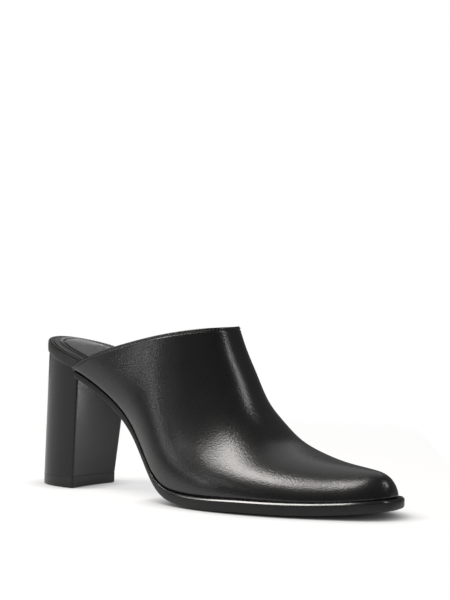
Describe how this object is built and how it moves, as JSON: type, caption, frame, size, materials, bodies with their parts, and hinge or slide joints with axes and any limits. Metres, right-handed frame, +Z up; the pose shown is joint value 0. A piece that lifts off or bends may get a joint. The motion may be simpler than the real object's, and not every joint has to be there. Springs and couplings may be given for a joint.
{
  "type": "mule shoe",
  "caption": "Right-foot black leather mule with a closed squared-almond toe, high vamp, open back, padded insole, narrow welt and a tall block heel",
  "frame": {"origin": "centre of the bounding box's bottom face, on the floor between heel and forefoot", "axes": "+X from heel to toe, +Y to the inner (medial) side of the foot, +Z up"},
  "size_m": [0.2334, 0.0858, 0.0958],
  "materials": {
    "upper_leather": "smooth polished black leather with a fine grain",
    "insole_leather": "matt charcoal-black lining leather",
    "sole_edge": "satin black painted sole edge",
    "welt_gloss": "burnished glossy black",
    "heel_stack": "black-stained stacked heel, faint layer lines, satin",
    "lift_rubber": "matt black"
  },
  "bodies": {
    "root": {"upper": "upper_leather", "insole": "insole_leather", "heel_pad": "insole_leather", "outsole": "sole_edge", "welt": "welt_gloss", "heel_block": "heel_stack", "top_lift": "lift_rubber"}
  },
  "joints": []
}
